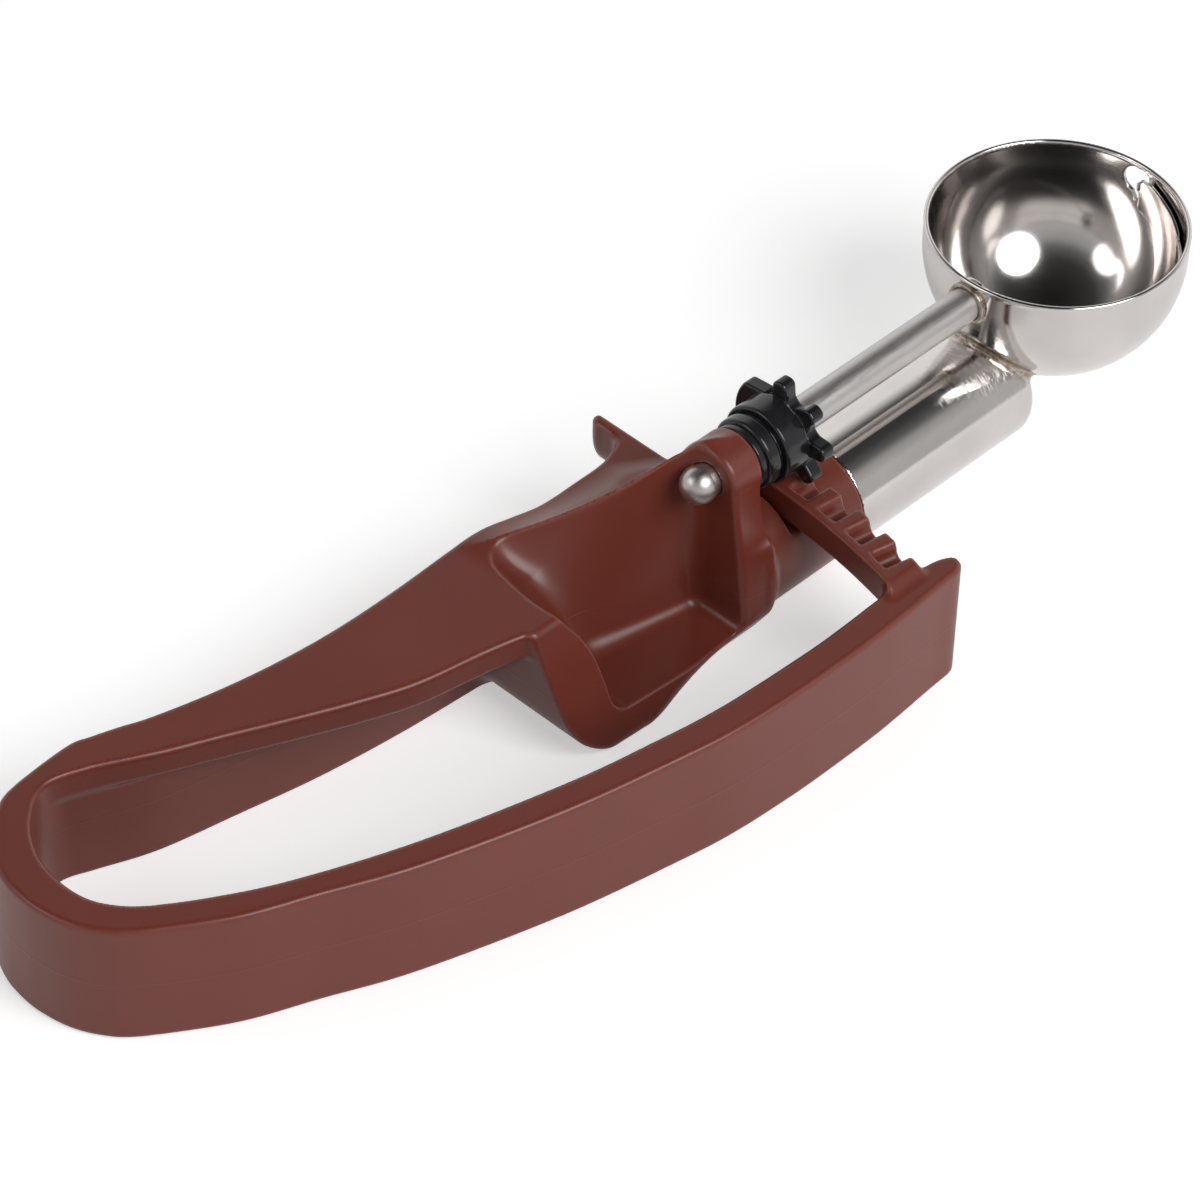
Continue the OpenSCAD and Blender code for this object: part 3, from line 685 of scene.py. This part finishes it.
class Nodes:
    """A node tree and short ways to add nodes to it, each giving its output's wire."""

    def __init__(self, tree):
        self.tree = tree

    def node(self, kind, settings, sockets, out=0):
        """A node of one kind: settings first, then its sockets by name or number, as values or wires."""
        made = self.tree.nodes.new("ShaderNode" + kind)
        for key, value in settings.items():
            setattr(made, key, value)
        for key, value in sockets.items():
            self.feed(made.inputs[key], value)
        return Wire(self, made.outputs[out])

    def feed(self, socket, value):
        if isinstance(value, Wire):
            self.tree.links.new(value.socket, socket)
        else:
            socket.default_value = value

    def attribute(self, name, out):
        return self.node("Attribute", {"attribute_name": name}, {}, out)

    def ray(self, kind):
        """One for a ray of this kind, otherwise nought."""
        return self.node("LightPath", {}, {}, "Is %s Ray" % kind)

    def stretched(self, place, scale):
        return self.node("Mapping", {"vector_type": "POINT"}, {"Vector": place, "Scale": scale})

    def length(self, way):
        return self.node("VectorMath", {"operation": "LENGTH"}, {0: way}, "Value")

    def along(self, way, axis):
        return self.node("VectorMath", {"operation": "DOT_PRODUCT"}, {0: way, 1: axis}, "Value")

    def noise(self, place, scale, detail=2.0, roughness=0.5):
        sockets = {"Vector": place, "Scale": scale, "Detail": detail, "Roughness": roughness}
        return self.node("TexNoise", {}, sockets)

    def limit(self, value, low, high, to_low=0.0, to_high=1.0):
        """The range from low to high carried to another range, and held at that range's ends."""
        return self.node("MapRange", {}, {
            "Value": value, "From Min": low, "From Max": high, "To Min": to_low, "To Max": to_high
        })

    def ramp(self, value, stops):
        """Grey read between stops, each a place and a shade."""
        grey = self.node("ValToRGB", {}, {})
        elements = grey.socket.node.color_ramp.elements
        for k, (place, shade) in enumerate(stops):
            stop = elements[k] if k < 2 else elements.new(place)
            stop.position, stop.color = place, (shade, shade, shade, 1)
        self.feed(grey.socket.node.inputs["Fac"], value)
        return grey

    def blend(self, share, a, b):
        """The first colour less the share, with the second by the share."""
        return self.node("Mix", {"data_type": "RGBA"}, {0: share, 6: a, 7: b}, 2)

    def bump(self, height, strength, distance, under=None):
        """Normal tilted by a height, on top of another normal if there is one."""
        sockets = {"Height": height, "Strength": strength, "Distance": distance}
        if under is not None:
            sockets["Normal"] = under
        return self.node("Bump", {}, sockets)


class Finish(Nodes):
    """One procedural material with its Principled shader."""

    def __init__(self, name, **constants):
        self.material = bpy.data.materials.new(name)
        self.material.use_nodes = True
        super().__init__(self.material.node_tree)
        self.shader = self.tree.nodes["Principled BSDF"]
        for socket, value in constants.items():
            self.set(socket.replace("_", " "), value)

    def set(self, socket, value):
        self.feed(self.shader.inputs[socket], value)

    def rest(self):
        return self.attribute("rest", "Vector")

    def clouds(self, place, scale, colour, dark, light):
        """Soft clouds of tone between two tints of a colour."""
        share = self.limit(self.noise(place, scale, 3.0), 0.3, 0.7)
        return self.blend(share, tint(colour, dark), tint(colour, light))


def grey(level):
    """A grey of one level, with full alpha."""
    return (level, level, level, 1.0)


def tint(colour, factor):
    """A colour made lighter or darker by a factor, with full alpha."""
    return tuple(min(1.0, c * factor) for c in colour[:3]) + (1.0,)


def moulded_plastic(sizes):
    """Satin terracotta plastic with faint clouds, a fine grain and a line at half height. A paler tint along
    sharply bent outer edges is a painted highlight, and a darker tint in hollow corners is painted shade."""
    f = Finish("terracotta plastic", Specular_IOR_Level=0.5)
    place, colour = f.rest(), sizes.plastic_colour
    tone = f.clouds(place, 0.05, colour, 0.96, 1.04)
    # Painted light from the surface's bend: a painted highlight on sharp outer edges, painted shade in hollow
    # corners.
    edge_bend = f.attribute("edge_bend", "Fac")
    patchy = f.noise(place, scale=0.3, detail=4.0)
    # Painted highlight: a paler, patchy tint along sharply bent outer edges.
    painted_edge_highlight = f.limit(edge_bend, 0.4, 1.1, 0.0, 0.6) * f.limit(patchy, 0.35, 0.65, 0.5, 1.0)
    tone = f.blend(painted_edge_highlight, tone, tuple(1.5 * c + 0.05 for c in colour) + (1.0,))
    # Painted shade: a darker tint in hollow corners and creases, read from the surface's bend.
    tone = f.blend(f.limit(edge_bend, -0.25, -0.9, 0.0, 0.35), tone, tint(colour, 0.5))
    f.set("Base Color", tone)
    sheen = f.noise(place, scale=0.12, detail=4.0, roughness=0.6)
    f.set("Roughness", f.limit(sheen, 0.3, 0.7, 0.29, 0.34))
    height = f.node("SeparateXYZ", {}, {0: place}, "Z")
    line = f.limit(abs(height - (GRIP_TOP + GRIP_BASE) / 2), 0.05, 0.2, 1.0, 0.0)
    seam = f.bump(line, strength=0.5, distance=0.00003)
    grain = f.noise(place, scale=2.2, detail=2.0)
    f.set("Normal", f.bump(grain, strength=0.12, distance=0.00003, under=seam))
    return f.material


def polished_sheet(name, colour, roughness, brush, brazed=False):
    """Polished stainless steel: soft clouds and faint polishing lines. A brazed piece has short scratches
    round it and a brown tinge that fades with the distance from the bowl."""
    f = Finish(name, Metallic=1.0)
    place = f.rest()
    tone = f.clouds(place, 0.12, colour, 0.95, 1.04)
    fine = f.noise(f.stretched(place, brush), scale=1.0, detail=4.0, roughness=0.7)
    gloss = f.limit(fine, 0.3, 0.7, roughness * 0.8, roughness * 1.2)
    normal = f.bump(fine, strength=0.08, distance=0.00002)
    if brazed:
        away = f.length(place)
        grain = f.noise(place, scale=1.4, detail=3.0, roughness=0.7)
        brown = f.limit(away, 21.6, 20.2) * f.limit(grain, 0.35, 0.6, 0.35, 1.0)
        tone = f.blend(brown, tone, (0.3, 0.225, 0.155, 1.0))
        gloss = gloss + brown * 0.15
        scratch = f.noise(f.stretched(place, (3.5, 0.5, 0.5)), scale=1.0, detail=5.0, roughness=0.8)
        scratch = f.limit(scratch, 0.52, 0.7) * f.limit(away, 34.0, 26.0)
        normal = f.bump(grain * brown, strength=0.5, distance=0.0001, under=normal)
        normal = f.bump(scratch, strength=0.3, distance=0.00003, under=normal)
        gloss = gloss + scratch * 0.12
    f.set("Base Color", tone)
    f.set("Roughness", gloss)
    f.set("Normal", normal)
    return f.material


def black_plastic(sizes):
    """Glossy black plastic with a grey bloom, and fine scuffs in its gloss."""
    f = Finish("black gear plastic", Specular_IOR_Level=0.5)
    place = f.rest()
    f.set("Base Color", f.clouds(place, 0.25, sizes.gear_colour, 0.8, 1.3))
    scuffs = f.noise(place, scale=0.5, detail=3.0)
    f.set("Roughness", f.limit(scuffs, 0.3, 0.7, 0.12, 0.2))
    grain = f.noise(place, scale=1.2, detail=2.0)
    f.set("Normal", f.bump(grain, strength=0.06, distance=0.00003))
    return f.material


def length(name, description, default, low, high):
    """A length in metres on the panel, between two limits."""
    return FloatProperty(
        name=name, description=description, default=default, min=low, max=high, unit="LENGTH", precision=5
    )


def polish(name, description, default):
    """A roughness on the panel."""
    return FloatProperty(name=name, description=description, default=default, min=0.02, max=0.6)


def paint(name, description, default):
    """A colour on the panel."""
    return FloatVectorProperty(
        name=name, description=description, size=3, default=default, min=0, max=1, subtype="COLOR"
    )


class MouldingSizes(bpy.types.PropertyGroup):
    edge_round: length("Edge radius", "Radius of the moulding's outer edges", 0.0008, 0.0003, 0.002)
    cell: length("Lattice", "Spacing of the lattice for the moulding", 0.00042, 0.0003, 0.002)
    plastic_colour: paint("Plastic", "Colour of the moulded plastic", (0.168, 0.034, 0.021))


class MetalSizes(bpy.types.PropertyGroup):
    cell: length("Lattice", "Spacing of the lattice for the sheet pieces", 0.0003, 0.0002, 0.001)
    steel_colour: paint("Steel", "Colour of the polished steel", (0.70, 0.665, 0.645))
    bowl_gloss: polish("Bowl roughness", "Roughness of the bowl's polish", 0.12)
    shank_gloss: polish("Shank roughness", "Roughness of the shank's polish", 0.1)
    rod_gloss: polish("Rod roughness", "Roughness of the rod", 0.38)


class GearSizes(bpy.types.PropertyGroup):
    cell: length("Lattice", "Spacing of the lattice for the gear", 0.0002, 0.00015, 0.001)
    gear_colour: paint("Gear", "Colour of the gear and the washer", (0.012, 0.012, 0.014))


class StageSizes(bpy.types.PropertyGroup):
    floor_radius: length("Floor radius", "Radius of the pale floor", 1.2, 0.2, 20.0)
    lamp_level: FloatProperty(
        name="Lamp level", description="Share of the lamps' usual power", default=1.0, min=0
    )


class SCOOP_OT_handle(bpy.types.Operator):
    """Makes the handle's moulding: the frame with its springy heel, and the lever with its rack"""

    bl_idname = "scoop.handle"
    bl_label = "Handle moulding"

    def execute(self, context):
        sizes = context.scene.scoop_moulding
        cell = sizes.cell * MM
        form = Moulding(sizes)
        finish = moulded_plastic(sizes)

        def whole(x, y, z):
            return np.minimum(form.frame(x, y, z), form.strip_rear(x, y, z))

        def frame_side(x, y, z):
            return np.maximum(whole(x, y, z), heel_cut(x, y) - 0.3)

        made = skin(frame_side, *HANDLE_BOX, cell, whole)
        body = piece("handle_moulding", *made, finish, bent(whole, made[0]))
        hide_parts("handle_frame", "heel_spring")
        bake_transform(body)

        def outer(x, y, z):
            return join(form.strip(x, y, z), form.rack(x, y, z), 1.5)

        made = skin(form.lever, *LEVER_BOX, cell, outer)
        lever = piece("lever_moulding", *made, finish, bent(outer, made[0]))
        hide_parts("squeeze_lever", "gear_rack")
        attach(lever, "lever")
        return {"FINISHED"}


class SCOOP_OT_bowl(bpy.types.Operator):
    """Makes the bowl, the shank with its brazed joint, and the eyelet"""

    bl_idname = "scoop.bowl"
    bl_label = "Bowl and shank"

    def execute(self, context):
        sizes = context.scene.scoop_metal
        cell = sizes.cell * MM
        bright = polished_sheet("polished bowl steel", sizes.steel_colour, sizes.bowl_gloss, (0.2, 0.2, 6.0))
        satin = polished_sheet("shank steel", sizes.steel_colour, sizes.shank_gloss, (0.3, 4.0, 4.0), True)
        bowl = piece("bowl_shell", *skin(bowl_field, *BOWL_BOX, cell), bright)
        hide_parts("bowl")
        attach(bowl, "handle")
        shank = piece("shank_and_braze", *skin(shank_field, *SHANK_BOX, cell * 1.2), satin)
        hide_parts("shank_tube", "braze_saddle")
        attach(shank, "handle")
        line, out = rounded(EYELET, [0.1, 0.1, 0.1, 0.05, 0.05, 0.25], 5, True)
        eyelet = piece("eyelet_bush", *lathe(line, -out, 72, True), satin)
        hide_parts("rod_eyelet")
        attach(eyelet, "handle")
        return {"FINISHED"}


class SCOOP_OT_spindle(bpy.types.Operator):
    """Makes what turns: the rod, the scraper, the stud, the pinion and the washer"""

    bl_idname = "scoop.spindle"
    bl_label = "Rod, scraper and pinion"

    def execute(self, context):
        metal, gear = context.scene.scoop_metal, context.scene.scoop_gear
        satin = polished_sheet("rod steel", tint(metal.steel_colour, 0.84), metal.rod_gloss, (0.25, 3.0, 3.0))
        bright = polished_sheet("scraper steel", metal.steel_colour, metal.bowl_gloss, (0.2, 0.2, 6.0))
        black = black_plastic(gear)
        dome = np.radians(np.linspace(180, 80, 28))
        tail_out = np.stack([np.cos(dome), np.sin(dome)], 1)
        tail = np.array([HEAD_X, 0]) + HEAD_R * tail_out
        nose, nose_out = rounded([(HEAD_FRONT, ROD_R), (ROD_FRONT, ROD_R), (ROD_FRONT, 0)], [0, 0.3, 0])
        line = np.vstack([tail, nose])
        line[0, 1] = line[-1, 1] = 0
        rod = piece("turning_rod", *lathe(line, np.vstack([tail_out, -nose_out])), satin)
        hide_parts("blade_rod")
        scraper = piece("scraper", *skin(scraper_field(), *SCRAPER_BOX, metal.cell * (0.9 * MM)), bright)
        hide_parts("scraper_blade")
        stud = piece("scraper_stud", *skin(lug_field, *LUG_BOX, 0.08), satin)
        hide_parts("blade_stud")
        pinion = piece("pinion", *skin(pinion_field(), *GEAR_BOX, gear.cell * MM), black)
        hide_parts("drive_gear")
        line, out = rounded(WASHER, [0.1, 0.1, 0.3, 0.3], 5, True)
        washer = piece("friction_washer", *lathe(line, -out, 72, True), black)
        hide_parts("thrust_washer")
        for made in (rod, scraper, stud, pinion, washer):
            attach(made, "spindle")
        return {"FINISHED"}


class SCOOP_OT_stage(bpy.types.Operator):
    """Sets the pale floor, the soft lamps and the camera"""

    bl_idname = "scoop.stage"
    bl_label = "Floor, lamps and camera"

    def execute(self, context):
        sizes = context.scene.scoop_stage
        scene = context.scene
        scene.view_settings.view_transform = "Standard"
        floor = bpy.data.meshes.new("floor")
        sides = 96
        a = 2 * np.pi * np.arange(sides) / sides
        rim = np.stack([np.cos(a), np.sin(a), 0 * a], 1) * sizes.floor_radius
        wedges = [(k, (k + 1) % sides, sides) for k in range(sides)]
        floor.from_pydata(np.vstack([rim, [[0, 0, 0]]]).tolist(), [], wedges)
        floor.materials.append(pale_floor())
        ground = bpy.data.objects.new("floor", floor)
        scene.collection.objects.link(ground)
        white_studio(scene)
        for name, (way, size, level) in LAMPS.items():
            soft_lamp(name, way, size, level * sizes.lamp_level)
        place_camera(scene)
        return {"FINISHED"}


def looked_at(f):
    """One for the camera's rays, half for rays off a mirror or through glass, otherwise nought."""
    camera, mirror, glass = (f.ray(kind) for kind in ("Camera", "Glossy", "Transmission"))
    return f.limit(camera + (mirror + glass) * 0.5, 0.0, 1.0)


def pale_floor():
    """White floor that keeps the object's shadow and fades into the white backdrop away from it."""
    f = Finish("pale floor", Roughness=0.9, Specular_IOR_Level=0.0, Emission_Strength=1.0)
    place = f.node("TexCoord", {}, {}, "Object")
    away = f.length(place)
    grain = f.noise(place, scale=60.0, detail=2.0)
    f.set("Base Color", f.blend(grain, grey(0.845), grey(0.855)))
    f.set("Emission Color", f.blend(looked_at(f), grey(0), grey(0.48)))
    clear = f.node("BsdfTransparent", {}, {})
    mixed = f.node("MixShader", {}, {0: f.limit(away, 0.16, 0.5), 1: Wire(f, f.shader.outputs[0]), 2: clear})
    f.feed(f.tree.nodes["Material Output"].inputs["Surface"], mixed)
    return f.material


def white_studio(scene):
    """Backdrop, white where the camera sees it. Its light is white from below and from the far side up to
    half height, grey low on the near side and dark overhead. A direction's far share is its part along the
    heading."""
    world = bpy.data.worlds.new("white studio")
    scene.world = world
    world.use_nodes = True
    f = Nodes(world.node_tree)
    way = f.node("TexCoord", {}, {}, "Generated")
    far, up = f.along(way, FAR_SIDE), f.along(way, (0.0, 0.0, 1.0))
    near = f.ramp((up + 0.25) * 0.8, NEAR_SKY)
    shade = f.blend(f.limit(far, 0.33, 0.5) * f.limit(up, 0.72, 0.5), near, grey(0.95))
    f.feed(f.tree.nodes["Background"].inputs["Color"], f.blend(f.ray("Camera"), shade, grey(1)))


def soft_lamp(name, way, size, level):
    """Oval soft box facing the bowl: its power is its brightness times pi times its area."""
    lamp = bpy.data.lights.new(name, "AREA")
    lamp.shape = "ELLIPSE"
    lamp.size, lamp.size_y = size
    lamp.energy = level * math.pi * (math.pi / 4) * size[0] * size[1]
    made = bpy.data.objects.new(name, lamp)
    bpy.context.scene.collection.objects.link(made)
    way = Vector(way).normalized()
    centre = Vector(ORIGIN / MM) + way * LAMP_AWAY
    made.matrix_world = Matrix.Translation(centre) @ way.to_track_quat("Z", "Y").to_matrix().to_4x4()


def place_camera(scene):
    """Camera on a line at a heading and a height, rolled a little, at its distance from the bowl."""
    heading, height, roll = (math.radians(turn) for turn in CAMERA_TURN)
    ahead = Vector((math.sin(heading), math.cos(heading), 0))
    level = Vector((math.cos(heading), -math.sin(heading), 0))
    look = ahead * math.cos(height) - Vector((0, 0, math.sin(height)))
    rise = ahead * math.sin(height) + Vector((0, 0, math.cos(height)))
    right = level * math.cos(roll) + rise * math.sin(roll)
    up = rise * math.cos(roll) - level * math.sin(roll)
    centre = (right * CAMERA_RIGHT + up * CAMERA_UP - look * CAMERA_BACK + Vector(ORIGIN)) / MM
    lens = bpy.data.cameras.new("camera")
    lens.sensor_width, lens.lens = SENSOR, SENSOR * FOCAL / FRAME_WIDE
    lens.clip_start, lens.clip_end = 0.05, 20.0
    made = bpy.data.objects.new("camera", lens)
    made.matrix_world = Matrix.Translation(centre) @ Matrix((right, up, -look)).transposed().to_4x4()
    scene.collection.objects.link(made)
    scene.camera = made


class SCOOP_PT_panel(bpy.types.Panel):
    """Lists the scoop's pieces and their sizes"""

    bl_idname = "SCOOP_PT_panel"
    bl_label = "Ice cream scoop"
    bl_space_type = "VIEW_3D"
    bl_region_type = "UI"
    bl_category = "Scoop"

    def draw(self, context):
        for operator, (name, group) in zip(OPERATORS, GROUPS.items()):
            box = self.layout.box()
            box.operator(operator.bl_idname)
            for key in group.__annotations__:
                box.prop(getattr(context.scene, name), key)


GROUPS = {
    "scoop_moulding": MouldingSizes, "scoop_metal": MetalSizes, "scoop_gear": GearSizes,
    "scoop_stage": StageSizes,
}
OPERATORS = (SCOOP_OT_handle, SCOOP_OT_bowl, SCOOP_OT_spindle, SCOOP_OT_stage)
CLASSES = (*GROUPS.values(), *OPERATORS, SCOOP_PT_panel)


def register():
    for item in CLASSES:
        bpy.utils.register_class(item)
    for name, group in GROUPS.items():
        setattr(bpy.types.Scene, name, PointerProperty(type=group))


def unregister():
    for name in GROUPS:
        delattr(bpy.types.Scene, name)
    for item in reversed(CLASSES):
        bpy.utils.unregister_class(item)


def main():
    register()
    bpy.ops.scoop.handle()
    bpy.ops.scoop.bowl()
    bpy.ops.scoop.spindle()
    bpy.ops.scoop.stage()


if __name__ == "__main__":
    main()
